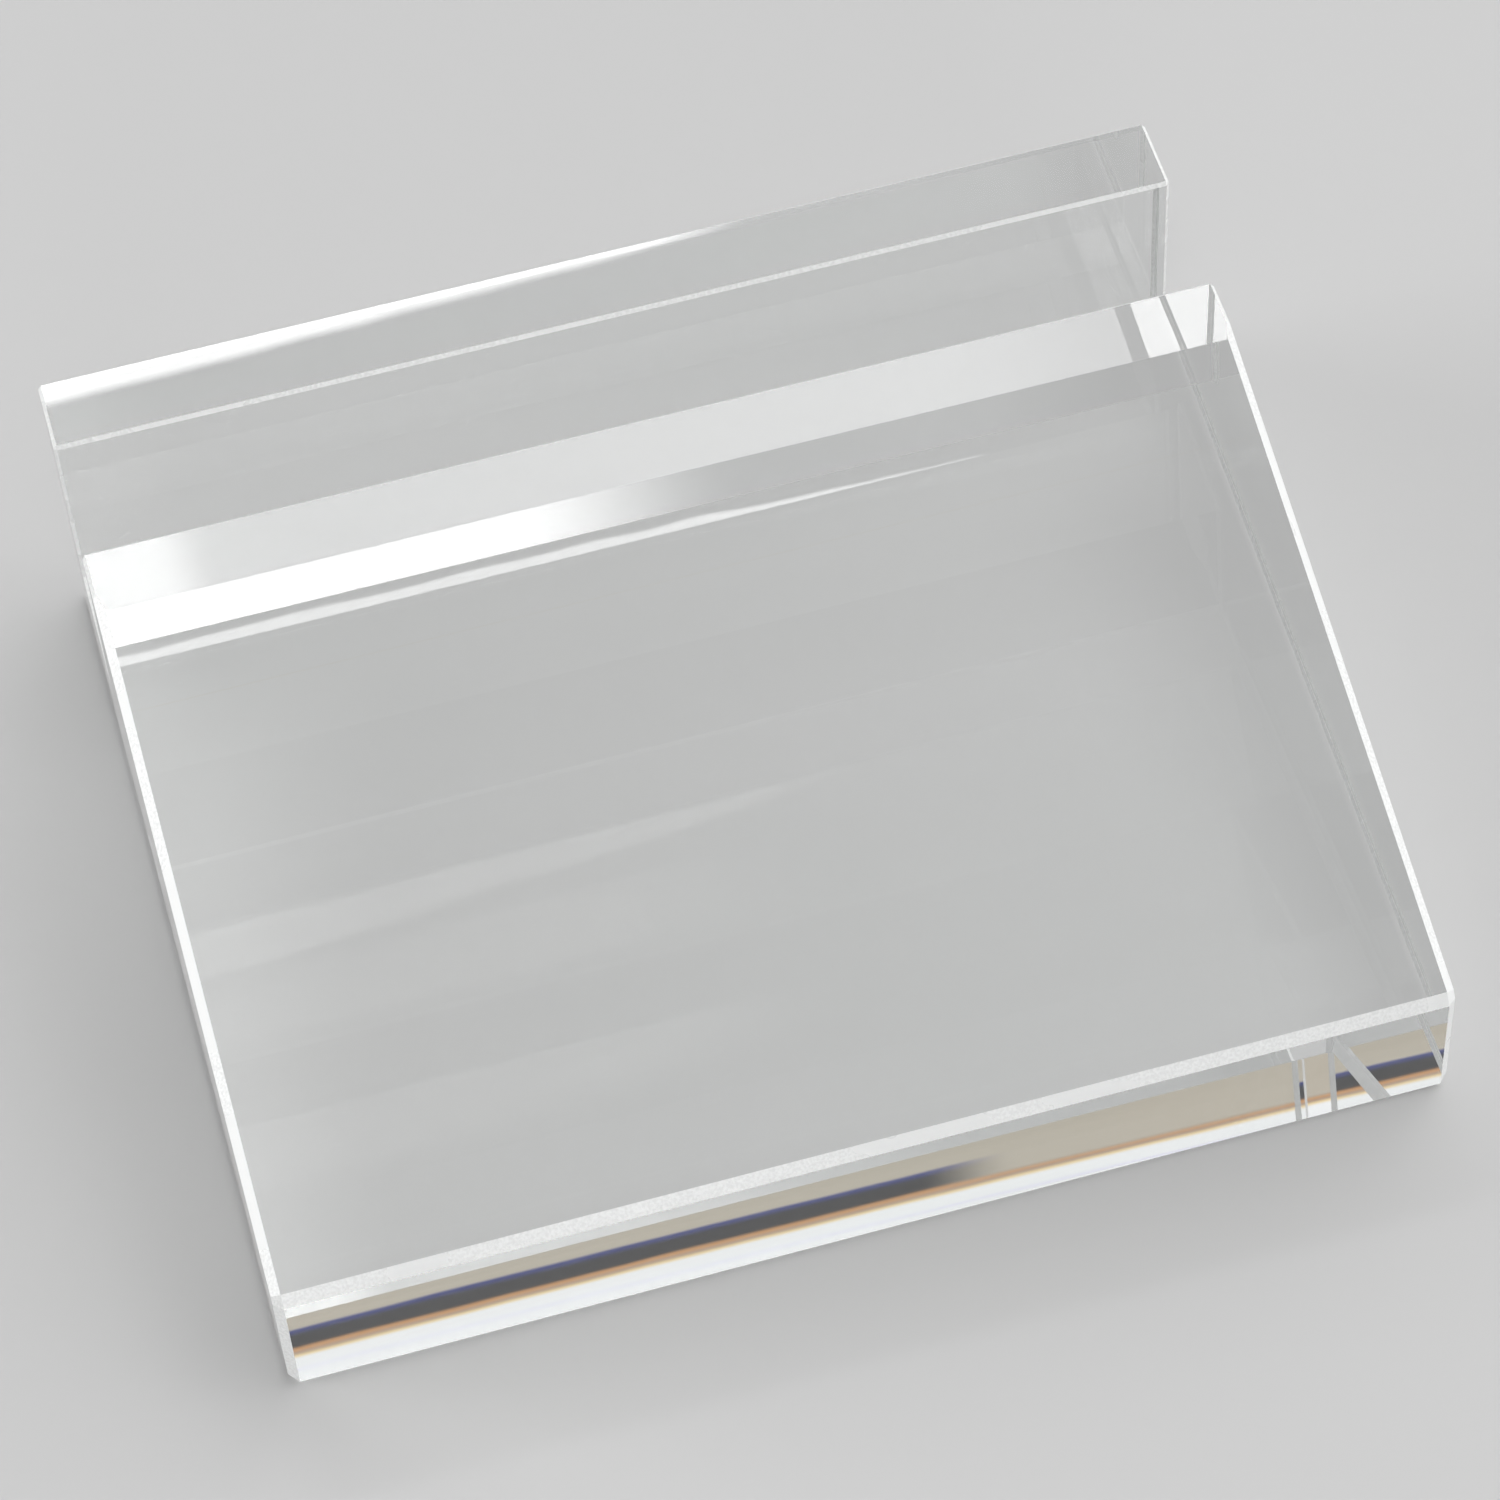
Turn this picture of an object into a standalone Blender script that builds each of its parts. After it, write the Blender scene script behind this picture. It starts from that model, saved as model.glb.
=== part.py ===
"""Clear crystal desk card holder, bonded from three polished blocks.

A sloped front tablet, a low bar that makes the floor of the card slot, and an upright rear wall stand side by
side. A film of clear adhesive joins the bar to the block on each side of it. The slot runs the full width.

Metres, +Z up. The front faces -Y, and the origin is under the middle of the block.
"""

import math

import bmesh
import bpy
from mathutils import Vector

# Driving dimensions
WIDTH = 0.100
DEPTH = 0.085
HEIGHT = 0.030
FRONT_HEIGHT = 0.013
LAND_DEPTH = 0.0066
SLOT_WIDTH = 0.0118
SLOT_FLOOR_HEIGHT = 0.012
REAR_WALL_THICKNESS = 0.0075
BOND_THICKNESS = 0.0001

# Chamfers, as the leg cut from each face: wide along the slope and the front, narrow elsewhere
WIDE_CHAMFER = 0.0008
NARROW_CHAMFER = 0.0003

# Places from front to back, measured from the front face
SLOT_REAR = DEPTH - REAR_WALL_THICKNESS
SLOT_FRONT = SLOT_REAR - SLOT_WIDTH
LAND_FRONT = SLOT_FRONT - LAND_DEPTH
SLOPE_ANGLE = math.atan2(HEIGHT - FRONT_HEIGHT, LAND_FRONT)

# Outward directions in the end view, where the first number is along Y and the second along Z
UNDER = Vector((0, -1))
OVER = Vector((0, 1))
FORWARD = Vector((-1, 0))
REARWARD = Vector((1, 0))
UP_THE_SLOPE = Vector((-math.sin(SLOPE_ANGLE), math.cos(SLOPE_ANGLE)))

# Points this close are one
MERGE_DISTANCE = 1e-7


class Side:
    """One straight side of an outline in the end view.

    point lies on the side, outward points out of the glass, and end_chamfer is the leg of the chamfer that
    the side gets at the left and right ends. A bonded side has none.
    """

    def __init__(self, point, outward, end_chamfer=0.0):
        self.point = Vector(point)
        self.outward = outward.normalized()
        self.end_chamfer = end_chamfer

    def reach(self, from_end):
        """How far the side lies along its outward direction, at a distance from the end of the block."""
        inset = max(0.0, self.end_chamfer - from_end)
        return self.point.dot(self.outward) - inset


def chamfer_side(corner, before, after, leg, end_chamfer):
    """The side that cuts off the corner between two faces, with the given leg along each of them."""
    corner = Vector(corner)
    outward = (before + after).normalized()
    half_turn = before.angle(after) / 2
    return Side(corner - outward * leg * math.sin(half_turn), outward, end_chamfer)


def meeting_point(one, other, from_end):
    """The point in the end view where two sides meet."""
    a, b = one.outward, other.outward
    p, q = one.reach(from_end), other.reach(from_end)
    cross = a.x * b.y - a.y * b.x
    return Vector(((p * b.y - q * a.y) / cross, (q * a.x - p * b.x) / cross))


def outline(sides, from_end):
    """The corners of a piece in the end view, at a distance from the end of the block."""
    followers = sides[1:] + sides[:1]
    return [meeting_point(side, follower, from_end) for side, follower in zip(sides, followers)]


def front_tablet_sides():
    """The sloped block, counter-clockwise from its underside as seen from +X."""
    return [
        Side((0, 0), UNDER, NARROW_CHAMFER),
        Side((SLOT_FRONT, 0), REARWARD),
        Side((SLOT_FRONT, SLOT_FLOOR_HEIGHT), OVER, NARROW_CHAMFER),
        Side((SLOT_FRONT, HEIGHT), REARWARD, NARROW_CHAMFER),
        chamfer_side((SLOT_FRONT, HEIGHT), REARWARD, OVER, NARROW_CHAMFER, NARROW_CHAMFER),
        Side((LAND_FRONT, HEIGHT), OVER, NARROW_CHAMFER),
        Side((0, FRONT_HEIGHT), UP_THE_SLOPE, WIDE_CHAMFER),
        chamfer_side((0, FRONT_HEIGHT), UP_THE_SLOPE, FORWARD, WIDE_CHAMFER, WIDE_CHAMFER),
        Side((0, 0), FORWARD, WIDE_CHAMFER),
        chamfer_side((0, 0), FORWARD, UNDER, NARROW_CHAMFER, WIDE_CHAMFER),
    ]


def rear_wall_sides():
    """The upright plate behind the slot, counter-clockwise from its underside as seen from +X."""
    return [
        Side((DEPTH, 0), UNDER, NARROW_CHAMFER),
        chamfer_side((DEPTH, 0), UNDER, REARWARD, NARROW_CHAMFER, NARROW_CHAMFER),
        Side((DEPTH, HEIGHT), REARWARD, NARROW_CHAMFER),
        chamfer_side((DEPTH, HEIGHT), REARWARD, OVER, NARROW_CHAMFER, NARROW_CHAMFER),
        Side((DEPTH, HEIGHT), OVER, NARROW_CHAMFER),
        chamfer_side((SLOT_REAR, HEIGHT), OVER, FORWARD, NARROW_CHAMFER, NARROW_CHAMFER),
        Side((SLOT_REAR, HEIGHT), FORWARD, NARROW_CHAMFER),
        Side((SLOT_REAR, SLOT_FLOOR_HEIGHT), OVER, NARROW_CHAMFER),
        Side((SLOT_REAR, 0), FORWARD),
    ]


def low_bar_sides(front, rear):
    """A bar under the slot from front to rear, bonded on both long sides."""
    return [
        Side((front, 0), UNDER, NARROW_CHAMFER),
        Side((rear, 0), REARWARD),
        Side((rear, SLOT_FLOOR_HEIGHT), OVER, NARROW_CHAMFER),
        Side((front, 0), FORWARD),
    ]


def block_mesh(name, sides):
    """The mesh of an outline drawn out to the full width, chamfered round both ends."""
    steps = sorted({0.0} | {side.end_chamfer for side in sides})
    rings = [(from_end - WIDTH / 2, from_end) for from_end in steps]
    rings += [(WIDTH / 2 - from_end, from_end) for from_end in reversed(steps)]
    bm = bmesh.new()
    loops = []
    for x, from_end in rings:
        loops.append([bm.verts.new((x, y, z)) for y, z in outline(sides, from_end)])
    for loop, next_loop in zip(loops, loops[1:]):
        for i in range(len(sides)):
            bm.faces.new((loop[i - 1], loop[i], next_loop[i], next_loop[i - 1]))
    bm.faces.new(loops[0])
    bm.faces.new(loops[-1])
    bmesh.ops.remove_doubles(bm, verts=bm.verts, dist=MERGE_DISTANCE)
    bmesh.ops.dissolve_degenerate(bm, edges=bm.edges, dist=MERGE_DISTANCE)
    bmesh.ops.recalc_face_normals(bm, faces=bm.faces)
    mesh = bpy.data.meshes.new(name)
    bm.to_mesh(mesh)
    bm.free()
    return mesh


def clear_material(name, colour, roughness, ior):
    """A clear, uncoloured solid that light passes through."""
    material = bpy.data.materials.new(name)
    material.use_nodes = True
    shader = material.node_tree.nodes["Principled BSDF"]
    shader.inputs["Base Color"].default_value = (*colour, 1.0)
    shader.inputs["Metallic"].default_value = 0.0
    shader.inputs["Roughness"].default_value = roughness
    shader.inputs["IOR"].default_value = ior
    shader.inputs["Transmission Weight"].default_value = 1.0
    return material


def clear_scene():
    for obj in list(bpy.data.objects):
        bpy.data.objects.remove(obj)


def main():
    clear_scene()
    # The empty stands under the front face and carries every piece, so that the block is centred on the origin.
    carrier = bpy.data.objects.new("card_holder", None)
    carrier.location = (0, -DEPTH / 2, 0)
    bpy.context.scene.collection.objects.link(carrier)

    front_bond = (SLOT_FRONT, SLOT_FRONT + BOND_THICKNESS)
    rear_bond = (SLOT_REAR - BOND_THICKNESS, SLOT_REAR)
    crystal = {"colour": (0.96, 0.98, 0.97), "roughness": 0.02, "ior": 1.52}
    adhesive = {"colour": (0.97, 0.96, 0.92), "roughness": 0.05, "ior": 1.51}
    pieces = {
        "front_tablet": (front_tablet_sides(), crystal),
        "front_bond_film": (low_bar_sides(*front_bond), adhesive),
        "slot_floor_bar": (low_bar_sides(front_bond[1], rear_bond[0]), crystal),
        "rear_bond_film": (low_bar_sides(*rear_bond), adhesive),
        "rear_wall": (rear_wall_sides(), crystal),
    }
    for name, (sides, finish) in pieces.items():
        piece = bpy.data.objects.new(name, block_mesh(name, sides))
        piece.data.materials.append(clear_material(name, **finish))
        piece.parent = carrier
        bpy.context.scene.collection.objects.link(piece)


main()
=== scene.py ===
"""Looks of the clear crystal desk card holder, on a pale floor under soft studio light.

Metres, +Z up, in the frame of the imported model. The front of the holder faces -Y.
"""

import math
from typing import NamedTuple

import bmesh
import bpy
from mathutils import Matrix, Vector


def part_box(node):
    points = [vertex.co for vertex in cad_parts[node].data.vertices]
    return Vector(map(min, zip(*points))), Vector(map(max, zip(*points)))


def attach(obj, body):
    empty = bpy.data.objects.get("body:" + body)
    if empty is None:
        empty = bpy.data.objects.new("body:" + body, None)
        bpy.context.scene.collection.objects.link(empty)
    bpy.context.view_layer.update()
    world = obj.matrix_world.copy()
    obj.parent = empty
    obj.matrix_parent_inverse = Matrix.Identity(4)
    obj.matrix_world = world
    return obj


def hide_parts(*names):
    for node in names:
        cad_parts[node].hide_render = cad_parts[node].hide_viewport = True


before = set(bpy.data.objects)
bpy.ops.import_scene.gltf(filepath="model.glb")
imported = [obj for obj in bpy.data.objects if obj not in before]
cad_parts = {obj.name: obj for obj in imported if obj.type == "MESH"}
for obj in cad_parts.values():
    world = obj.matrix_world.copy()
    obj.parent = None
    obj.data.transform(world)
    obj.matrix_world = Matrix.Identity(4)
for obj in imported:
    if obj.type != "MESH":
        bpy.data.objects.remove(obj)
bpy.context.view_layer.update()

# Places in the block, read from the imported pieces
SLOT_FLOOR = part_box("slot_floor_bar")[1].z
SLOT_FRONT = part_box("front_tablet")[1].y
SLOT_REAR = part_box("rear_wall")[0].y

# Points this close are one, faces this near a plane lie in it, and faces that turn less than this are one
MERGE_DISTANCE = 1e-7
PLANE_DISTANCE = 1e-5
FLAT_ANGLE = math.radians(0.2)
# A face within this angle of square to an axis, or of the slope, is a main face. Any other is a chamfer
MAIN_FACE_ANGLE = math.radians(3.0)

# Material slots of each piece
POLISHED, BONDED, CHAMFER = range(3)

# The photograph's camera: where it stands, where its axis meets the floor, how far it leans to its right
CAMERA_PLACE = Vector((-0.0565, -0.2653, 0.3903))
CAMERA_AIM = Vector((0.0030, 0.0080, 0.0))
CAMERA_ROLL = math.radians(3.98)
FOCAL_LENGTH_MM = 130.6
SENSOR_MM = 36.0
# It sees what lies between these distances
CLIP_NEAR = 0.01
CLIP_FAR = 50.0

# Clear optical glass and cured adhesive
CRYSTAL_IOR = 1.52
CRYSTAL_COLOUR = (0.985, 0.992, 0.988, 1.0)
ADHESIVE_IOR = 1.51
ADHESIVE_COLOUR = (0.97, 0.96, 0.92, 1.0)
# Ground chamfers: their colour, and how clear and how rough they are, each from a low to a high value
GROUND_COLOUR = (0.94, 0.95, 0.945, 1.0)
GROUND_CLEARNESS = (0.10, 0.25)
GROUND_ROUGHNESS = (0.20, 0.30)

# Long shallow waves that polishing leaves: bumps per metre, octaves of finer ones, and their height
POLISH_WAVES = 45.0
POLISH_DETAIL = 2.0
POLISH_WAVE_HEIGHT = 3e-6
# Cords, where glass and film take up a little more light: how many per metre, octaves of finer ones,
# the noise at which they begin and are deepest, and the tint where they are deepest
CORDS = 20.0
CORD_DETAIL = 4.0
CORD_NOISE = (0.4, 0.7)
CRYSTAL_CORD_COLOUR = (0.972, 0.984, 0.978, 1.0)
ADHESIVE_CORD_COLOUR = (0.955, 0.94, 0.89, 1.0)
# Ground marks on the chamfers: marks per metre, their height, patches of them per metre, octaves of finer
# ones of both, and the noise at which clearness and roughness have their low and their high values
GROUND_MARKS = 4000.0
GROUND_MARK_HEIGHT = 1e-6
GROUND_PATCHES = 90.0
GROUND_DETAIL = 3.0
GROUND_NOISE = (0.3, 0.7)

# The block stands on a film of air, and the floor fades to the plain backdrop between two radii
AIR_GAP = 0.0002
FLOOR_SIZE = 6.0
FLOOR_GREY = 0.58
FLOOR_FADE = (0.30, 1.20)
# In what the glass shows of the floor, this share is its plain colour and the rest its light and shade
PLAIN_SHARE = 0.65

# The sky's level overhead, and the sines of the elevations between which it fades to the backdrop
SKY_HIGH = 0.24
SKY_FADE = (0.20, 0.60)


class Window(NamedTuple):
    """A soft-edged window of light in the sky, in degrees. Each fade is the width of a pair of edges."""

    azimuth: float
    elevation: float
    width: float
    width_fade: float
    height: float
    height_fade: float
    radiance: float


KEY_WINDOW = Window(80, 46, 90, 50, 56, 30, 2.0)
GLINT_WINDOWS = (
    # Glare on the land, its bright left end and its bright right end
    Window(167, 60.8, 15.0, 2.0, 3.6, 1.0, 4.6),
    Window(181, 61.0, 4.6, 0.6, 4.0, 1.0, 5.0),
    Window(205, 60.2, 7.0, 1.0, 4.0, 1.0, 14.0),
    # White band on the slope below the land
    Window(182, 51.5, 15.0, 3.0, 2.8, 1.0, 11.0),
    # Narrow streak below that band
    Window(182, 40.70, 26.0, 3.0, 0.24, 0.06, 6.0),
    # Wedge along the top of the rear wall
    Window(-1.8, 47.77, 17.5, 2.0, 4.0, 0.12, 10.0),
)
# Low fill lights that brighten the chamfers along the front and the left end
FILL_WINDOWS = (
    Window(182, 18, 24, 10, 12, 6, 4.0),
    Window(286, 14, 34, 10, 12, 6, 12.0),
)
# How much of the key light is left where it shows through the glass, so that it doesn't clip there
KEY_IN_GLASS = 0.20
# A direction beside or behind a window counts as this far ahead of it, which is well outside its edges
LEAST_AHEAD = 0.01
# In degrees, from a window's middle to the way along its width
QUARTER_TURN = 90
# A count of bounces is a whole number, so this parts none from some
SOME_BOUNCES = 0.5
# How often light may bounce in all, and how often it may pass or mirror in the glass
ALL_BOUNCES = 32
GLASS_BOUNCES = 24

# A low card behind the block, which only the glass sees, with a dark band above a white one
# It glows, and its bands are painted light that the glass shows as dark, white and beige bands on its
# front
CARD_PLACE = 0.150
CARD_LEFT = -0.080
CARD_RIGHT = 0.090
CARD_TOP = 0.028
# The dark band ends on the right at a soft edge
CARD_DARK_END = 0.033
CARD_DARK_FADE = 0.012
CARD_BEIGE = (0.50, 0.45, 0.37, 1.0)
# Heights up the card and their colours, with painted coloured fringes where white meets black
# The fringes are painted light that stands in for the colours that glass splits out at such an edge
CARD_PAINTED_BANDS = (
    (0.0133, (0.93, 0.94, 0.95, 1.0)),
    (0.0136, (0.80, 0.79, 0.95, 1.0)),
    (0.0139, (0.93, 0.94, 0.95, 1.0)),
    (0.0153, (0.93, 0.94, 0.95, 1.0)),
    (0.0157, (0.90, 0.70, 0.38, 1.0)),
    (0.0161, (0.42, 0.30, 0.22, 1.0)),
    (0.0166, (0.62, 0.30, 0.10, 1.0)),
    (0.0171, (0.004, 0.003, 0.005, 1.0)),
    (0.0187, (0.004, 0.003, 0.005, 1.0)),
    (0.0194, (0.010, 0.025, 0.200, 1.0)),
    (0.0198, CARD_BEIGE),
)
# Between these heights the dark band gives way to beige on the right
CARD_DARK_LOW = 0.0163
CARD_DARK_HIGH = 0.0171

# Where a Mix node keeps its two colours and their mix
MIX_ONE = 6
MIX_OTHER = 7
MIX_RESULT = 2


class Nodes:
    """Short calls that add nodes to a tree and link what feeds them."""

    def __init__(self, tree):
        self.tree = tree

    def add(self, kind, **settings):
        node = self.tree.nodes.new(kind)
        for name, value in settings.items():
            setattr(node, name, value)
        return node

    def feed(self, socket, value):
        if isinstance(value, bpy.types.NodeSocket):
            self.tree.links.new(value, socket)
        else:
            socket.default_value = value

    def math(self, operation, *values):
        node = self.add("ShaderNodeMath", operation=operation)
        for socket, value in zip(node.inputs, values):
            self.feed(socket, value)
        return node.outputs[0]

    def dot(self, one, other):
        node = self.add("ShaderNodeVectorMath", operation="DOT_PRODUCT")
        self.feed(node.inputs[0], one)
        self.feed(node.inputs[1], other)
        return node.outputs["Value"]

    def length(self, vector):
        node = self.add("ShaderNodeVectorMath", operation="LENGTH")
        self.feed(node.inputs[0], vector)
        return node.outputs["Value"]

    def split(self, vector):
        node = self.add("ShaderNodeSeparateXYZ")
        self.feed(node.inputs[0], vector)
        return node.outputs

    def coordinates(self, kind):
        return self.add("ShaderNodeTexCoord").outputs[kind]

    def fade(self, value, start, end, low, high):
        """low where value is at start, high where it is at end, and smooth between them."""
        node = self.add("ShaderNodeMapRange", interpolation_type="SMOOTHSTEP")
        for socket, fed in zip(node.inputs, (value, start, end, low, high)):
            self.feed(socket, fed)
        return node.outputs[0]

    def noise(self, place, scale, detail):
        """Smooth noise about one half, with features of one over scale and octaves of finer ones."""
        node = self.add("ShaderNodeTexNoise")
        self.feed(node.inputs["Vector"], place)
        self.feed(node.inputs["Scale"], scale)
        self.feed(node.inputs["Detail"], detail)
        return node.outputs[0]

    def bump(self, height, distance):
        node = self.add("ShaderNodeBump")
        self.feed(node.inputs["Height"], height)
        self.feed(node.inputs["Distance"], distance)
        return node.outputs["Normal"]

    def mix_colours(self, factor, one, other):
        node = self.add("ShaderNodeMix", data_type="RGBA")
        self.feed(node.inputs["Factor"], factor)
        self.feed(node.inputs[MIX_ONE], one)
        self.feed(node.inputs[MIX_OTHER], other)
        return node.outputs[MIX_RESULT]

    def ramp(self, value, stops):
        """The colour at a value, from stops that pair a value from 0 to 1 with a colour."""
        node = self.add("ShaderNodeValToRGB")
        self.feed(node.inputs[0], value)
        elements = node.color_ramp.elements
        elements.remove(elements[1])
        elements[0].position, elements[0].color = stops[0]
        for position, colour in stops[1:]:
            elements.new(position).color = colour
        return node.outputs[0]


def grey(level):
    return (level, level, level, 1.0)


def compass(azimuth, elevation):
    """The direction at an azimuth from +Y towards +X and an elevation, both in degrees."""
    turn, rise = math.radians(azimuth), math.radians(elevation)
    return Vector((math.sin(turn) * math.cos(rise), math.cos(turn) * math.cos(rise), math.sin(rise)))


def clear_material(name, colour, ior):
    """A clear material with its nodes and its shader."""
    material = bpy.data.materials.new(name)
    material.use_nodes = True
    shader = material.node_tree.nodes["Principled BSDF"]
    shader.inputs["Base Color"].default_value = colour
    shader.inputs["IOR"].default_value = ior
    shader.inputs["Transmission Weight"].default_value = 1.0
    return material, Nodes(material.node_tree), shader


def polished_face(name, colour, cord_colour, ior):
    """A polished clear face with faint waves from polishing and faint cords of deeper tint."""
    material, nodes, shader = clear_material(name, colour, ior)
    place = nodes.coordinates("Object")
    cords = nodes.fade(nodes.noise(place, CORDS, CORD_DETAIL), *CORD_NOISE, 0.0, 1.0)
    waves = nodes.noise(place, POLISH_WAVES, POLISH_DETAIL)
    nodes.feed(shader.inputs["Base Color"], nodes.mix_colours(cords, colour, cord_colour))
    nodes.feed(shader.inputs["Normal"], nodes.bump(waves, POLISH_WAVE_HEIGHT))
    shader.inputs["Roughness"].default_value = 0.0
    return material


def ground_chamfer():
    """A satin chamfer, ground with fine marks that lie in patches."""
    material, nodes, shader = clear_material("ground_chamfer", GROUND_COLOUR, CRYSTAL_IOR)
    place = nodes.coordinates("Object")
    patches = nodes.noise(place, GROUND_PATCHES, GROUND_DETAIL)
    marks = nodes.noise(place, GROUND_MARKS, GROUND_DETAIL)
    nodes.feed(shader.inputs["Roughness"], nodes.fade(patches, *GROUND_NOISE, *GROUND_ROUGHNESS))
    nodes.feed(shader.inputs["Transmission Weight"], nodes.fade(marks, *GROUND_NOISE, *GROUND_CLEARNESS))
    nodes.feed(shader.inputs["Normal"], nodes.bump(marks, GROUND_MARK_HEIGHT))
    return material


def bonded_face():
    """Where adhesive wets glass nothing shows, because the two bend light alike."""
    material = bpy.data.materials.new("bonded_face")
    material.use_nodes = True
    nodes = material.node_tree.nodes
    nodes.remove(nodes["Principled BSDF"])
    clear = nodes.new("ShaderNodeBsdfTransparent")
    material.node_tree.links.new(clear.outputs[0], nodes["Material Output"].inputs["Surface"])
    return material


def is_bonded(face):
    """True for a face that the adhesive joins to the next piece."""
    if abs(face.normal.y) < math.cos(MAIN_FACE_ANGLE):
        return False
    centre = face.calc_center_median()
    between = SLOT_FRONT - PLANE_DISTANCE < centre.y < SLOT_REAR + PLANE_DISTANCE
    return between and centre.z < SLOT_FLOOR


def slope_direction():
    """The way the slope faces: it is the largest leaning face of the tablet."""
    upright, level = math.sin(MAIN_FACE_ANGLE), math.cos(MAIN_FACE_ANGLE)
    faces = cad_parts["front_tablet"].data.polygons
    leaning = [face for face in faces if upright < face.normal.z < level]
    return max(leaning, key=lambda face: face.area).normal


def is_main(face):
    """True for a face that lies square to an axis or along the slope."""
    directions = (Vector((1, 0, 0)), Vector((0, 1, 0)), Vector((0, 0, 1)), slope_direction())
    return max(abs(face.normal.dot(main)) for main in directions) > math.cos(MAIN_FACE_ANGLE)


def face_slot(face):
    if is_bonded(face):
        return BONDED
    return POLISHED if is_main(face) else CHAMFER


def polished_piece(node, materials):
    """A copy of a CAD node with whole flat faces, which stands for the node."""
    bm = bmesh.new()
    bm.from_mesh(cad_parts[node].data)
    bmesh.ops.remove_doubles(bm, verts=bm.verts, dist=MERGE_DISTANCE)
    bmesh.ops.dissolve_limit(bm, angle_limit=FLAT_ANGLE, verts=bm.verts, edges=bm.edges)
    # A cut at the slot floor's height parts the bonded stretch of a slot wall from the open one.
    everything = bm.verts[:] + bm.edges[:] + bm.faces[:]
    bmesh.ops.bisect_plane(bm, geom=everything, dist=MERGE_DISTANCE,
                           plane_co=(0, 0, SLOT_FLOOR), plane_no=(0, 0, 1))
    bm.normal_update()
    for face in bm.faces:
        face.smooth = False
        face.material_index = face_slot(face)
    mesh = bpy.data.meshes.new(node + "_polished")
    bm.to_mesh(mesh)
    bm.free()
    for material in materials:
        mesh.materials.append(material)
    piece = bpy.data.objects.new(node + "_polished", mesh)
    bpy.context.scene.collection.objects.link(piece)
    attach(piece, "root")
    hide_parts(node)
    return piece


def make_pieces():
    crystal = polished_face("crystal", CRYSTAL_COLOUR, CRYSTAL_CORD_COLOUR, CRYSTAL_IOR)
    adhesive = polished_face("bond_adhesive", ADHESIVE_COLOUR, ADHESIVE_CORD_COLOUR, ADHESIVE_IOR)
    chamfer = ground_chamfer()
    bonded = bonded_face()
    for node in ("front_tablet", "slot_floor_bar", "rear_wall"):
        polished_piece(node, [crystal, bonded, chamfer])
    for node in ("front_bond_film", "rear_bond_film"):
        polished_piece(node, [adhesive, bonded, chamfer])


def make_camera():
    data = bpy.data.cameras.new("camera")
    data.lens = FOCAL_LENGTH_MM
    data.sensor_width = SENSOR_MM
    data.clip_start = CLIP_NEAR
    data.clip_end = CLIP_FAR
    camera = bpy.data.objects.new("camera", data)
    bpy.context.scene.collection.objects.link(camera)
    facing = (CAMERA_AIM - CAMERA_PLACE).to_track_quat("-Z", "Y").to_matrix()
    lean = Matrix.Rotation(-CAMERA_ROLL, 3, "Z")
    camera.matrix_world = Matrix.Translation(CAMERA_PLACE) @ (facing @ lean).to_4x4()
    bpy.context.scene.camera = camera


def stage_panel(name, corners, material):
    """A flat panel of the studio, which isn't part of the object."""
    mesh = bpy.data.meshes.new(name)
    mesh.from_pydata(corners, [], [range(len(corners))])
    mesh.materials.append(material)
    # It lights nothing by itself: only rays that reach it see it.
    material.cycles.emission_sampling = "NONE"
    panel = bpy.data.objects.new(name, mesh)
    bpy.context.scene.collection.objects.link(panel)
    return panel


def floor_material():
    """A plain matt floor that keeps its shadows.

    Far from the block it fades to the backdrop's colour.
    Glass shows more of its plain colour than of its light and shade.
    """
    material = bpy.data.materials.new("floor")
    material.use_nodes = True
    tree = material.node_tree
    nodes = Nodes(tree)
    shader = tree.nodes["Principled BSDF"]
    shader.inputs["Base Color"].default_value = grey(FLOOR_GREY)
    shader.inputs["Roughness"].default_value = 1.0
    shader.inputs["Specular IOR Level"].default_value = 0.0
    plain = nodes.add("ShaderNodeEmission")
    plain.inputs["Color"].default_value = grey(FLOOR_GREY)
    path = nodes.add("ShaderNodeLightPath").outputs
    by_glass = nodes.math("MAXIMUM", path["Is Glossy Ray"], path["Is Transmission Ray"])
    seen = nodes.math("MAXIMUM", path["Is Camera Ray"], by_glass)
    far = nodes.fade(nodes.length(nodes.coordinates("Object")), *FLOOR_FADE, 0.0, 1.0)
    near_share = nodes.math("MULTIPLY", by_glass, PLAIN_SHARE)
    share = nodes.math("MAXIMUM", nodes.math("MULTIPLY", seen, far), near_share)
    both = nodes.add("ShaderNodeMixShader")
    nodes.feed(both.inputs[0], share)
    nodes.feed(both.inputs[1], shader.outputs[0])
    nodes.feed(both.inputs[2], plain.outputs[0])
    nodes.feed(tree.nodes["Material Output"].inputs["Surface"], both.outputs[0])
    return material


def make_floor():
    half = FLOOR_SIZE / 2
    outline = ((-half, -half), (half, -half), (half, half), (-half, half))
    stage_panel("floor", [(x, y, -AIR_GAP) for x, y in outline], floor_material())


def painted_card_material():
    """Painted light: glowing bands up the card, with a dark one that gives way to beige on the right."""
    material = bpy.data.materials.new("card")
    material.use_nodes = True
    tree = material.node_tree
    nodes = Nodes(tree)
    place = nodes.split(nodes.coordinates("Object"))
    stops = [(height / CARD_TOP, colour) for height, colour in CARD_PAINTED_BANDS]
    bands = nodes.ramp(nodes.math("DIVIDE", place["Z"], CARD_TOP), stops)
    half_fade = CARD_DARK_FADE / 2
    rightwards = nodes.fade(place["X"], CARD_DARK_END - half_fade, CARD_DARK_END + half_fade, 0.0, 1.0)
    above = nodes.fade(place["Z"], CARD_DARK_LOW, CARD_DARK_HIGH, 0.0, 1.0)
    colour = nodes.mix_colours(nodes.math("MULTIPLY", rightwards, above), bands, CARD_BEIGE)
    tree.nodes.remove(tree.nodes["Principled BSDF"])
    glow = nodes.add("ShaderNodeEmission")
    nodes.feed(glow.inputs["Color"], colour)
    nodes.feed(tree.nodes["Material Output"].inputs["Surface"], glow.outputs[0])
    return material


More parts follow.
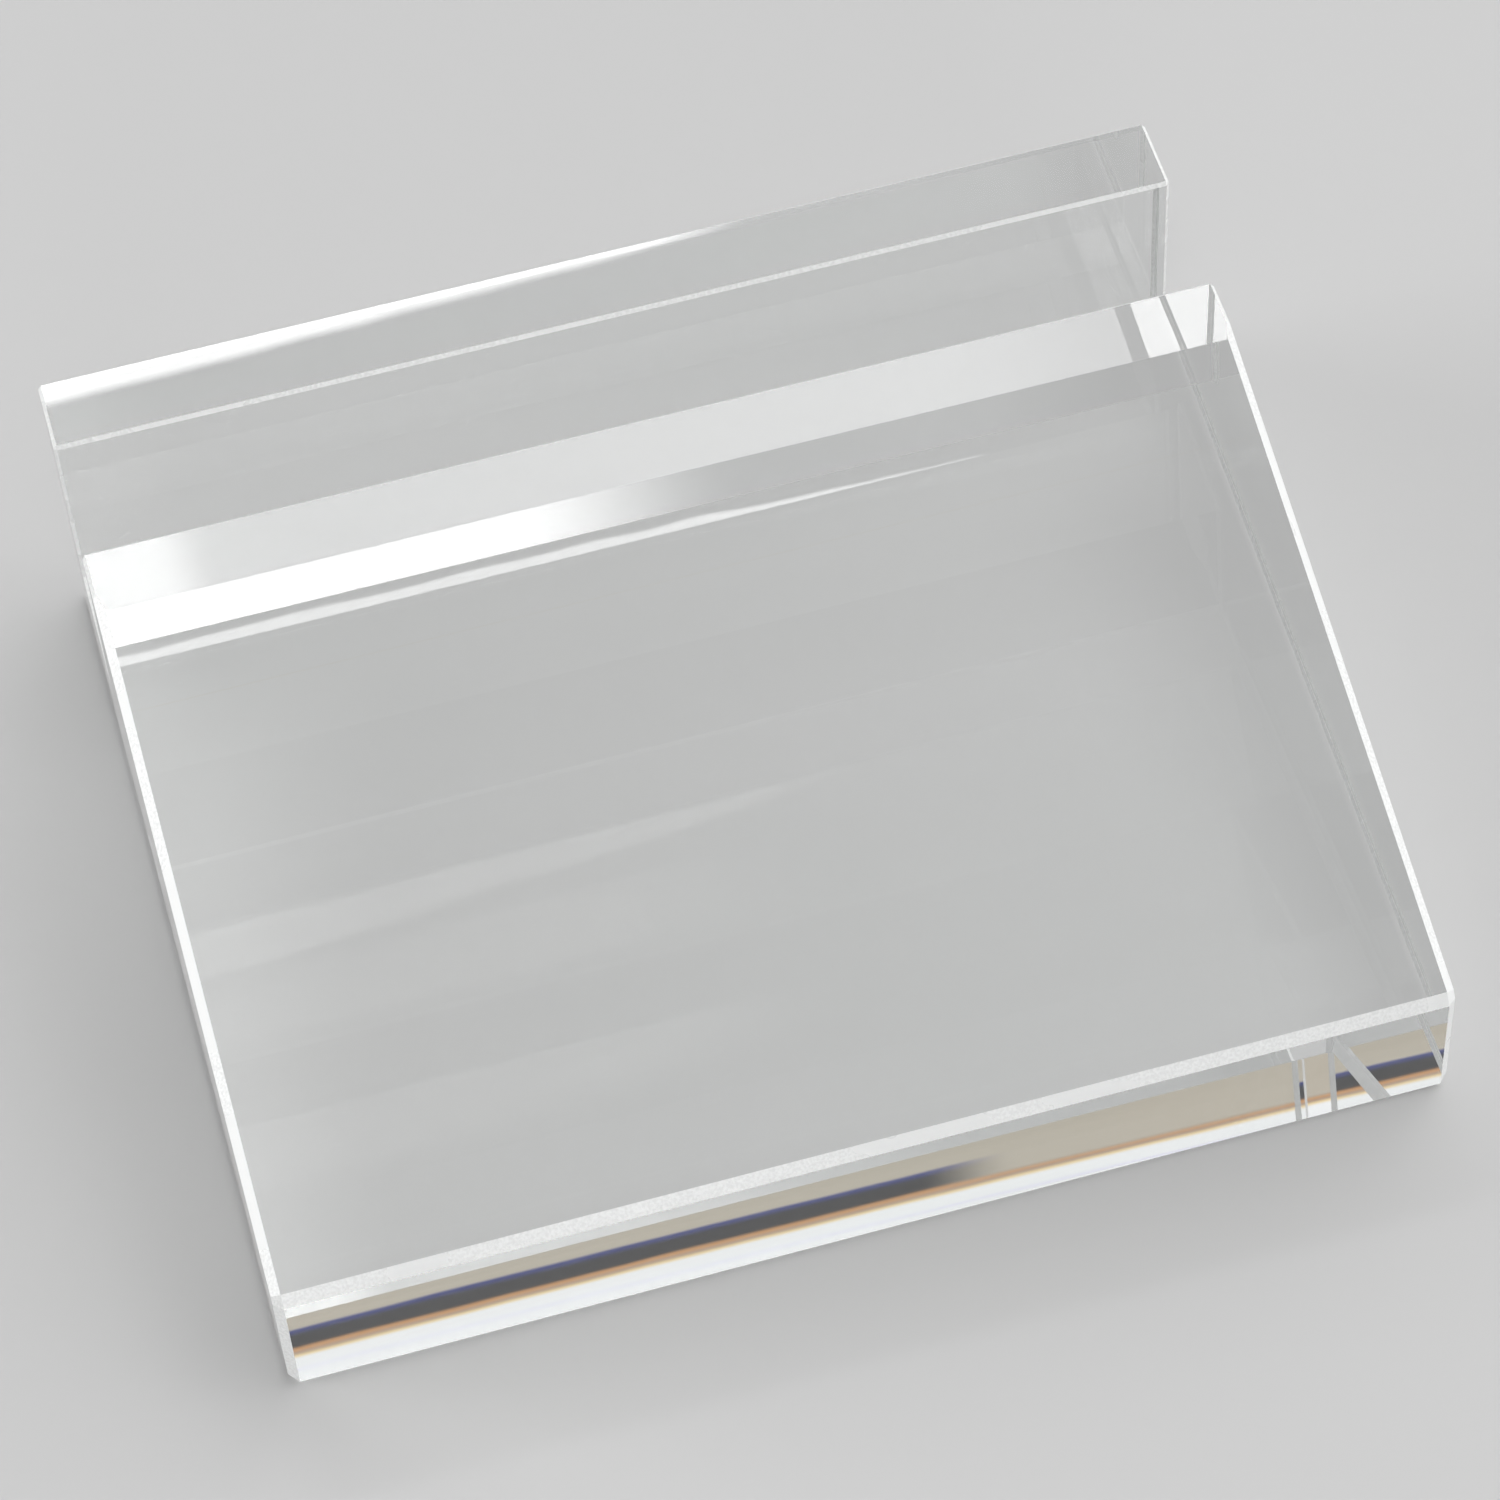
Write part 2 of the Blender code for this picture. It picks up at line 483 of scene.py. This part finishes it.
def make_card():
    outline = ((CARD_LEFT, 0.0), (CARD_RIGHT, 0.0), (CARD_RIGHT, CARD_TOP), (CARD_LEFT, CARD_TOP))
    card = stage_panel("card", [(x, CARD_PLACE, z) for x, z in outline], painted_card_material())
    card.visible_camera = False
    card.visible_diffuse = False
    card.visible_glossy = False
    card.visible_shadow = False


def window_light(nodes, direction, window):
    """The light that comes from a direction through a window."""
    centre = compass(window.azimuth, window.elevation)
    sideways = compass(window.azimuth + QUARTER_TURN, 0)
    upwards = sideways.cross(centre)
    ahead = nodes.math("MAXIMUM", nodes.dot(direction, centre), LEAST_AHEAD)
    across = (sideways, window.width, window.width_fade)
    tall = (upwards, window.height, window.height_fade)
    light = window.radiance
    for axis, size, fade in (across, tall):
        off = nodes.math("ABSOLUTE", nodes.math("DIVIDE", nodes.dot(direction, axis), ahead))
        angle = nodes.math("MULTIPLY", nodes.math("ARCTANGENT", off), math.degrees(1))
        share = nodes.fade(angle, (size - fade) / 2, (size + fade) / 2, 1.0, 0.0)
        light = nodes.math("MULTIPLY", share, light)
    return light


def make_world():
    world = bpy.data.worlds.new("studio")
    world.use_nodes = True
    tree = world.node_tree
    nodes = Nodes(tree)
    direction = nodes.coordinates("Generated")
    path = nodes.add("ShaderNodeLightPath").outputs
    sky = nodes.fade(nodes.split(direction)["Z"], *SKY_FADE, FLOOR_GREY, SKY_HIGH)
    # Small bright windows light no floor through the glass, where they would only make noise.
    unscattered = nodes.math("LESS_THAN", path["Diffuse Depth"], SOME_BOUNCES)
    through_glass = nodes.math("GREATER_THAN", path["Transmission Depth"], SOME_BOUNCES)
    shows_inside = nodes.math("MULTIPLY", unscattered, through_glass)
    outside = nodes.math("SUBTRACT", unscattered, shows_inside)
    key_share = nodes.fade(shows_inside, 0.0, 1.0, 1.0, KEY_IN_GLASS)
    lights = [(KEY_WINDOW, key_share)]
    lights += [(window, unscattered) for window in GLINT_WINDOWS]
    lights += [(window, outside) for window in FILL_WINDOWS]
    light = sky
    for window, share in lights:
        shown = nodes.math("MULTIPLY", window_light(nodes, direction, window), share)
        light = nodes.math("ADD", light, shown)
    colour = nodes.mix_colours(path["Is Camera Ray"], light, grey(FLOOR_GREY))
    nodes.feed(tree.nodes["Background"].inputs["Color"], colour)
    bpy.context.scene.world = world


make_pieces()
make_camera()
make_floor()
make_card()
make_world()

scene = bpy.context.scene
scene.view_settings.view_transform = "Standard"
scene.cycles.max_bounces = ALL_BOUNCES
scene.cycles.transmission_bounces = GLASS_BOUNCES
scene.cycles.glossy_bounces = GLASS_BOUNCES
scene.cycles.transparent_max_bounces = ALL_BOUNCES
scene.cycles.blur_glossy = 0.0
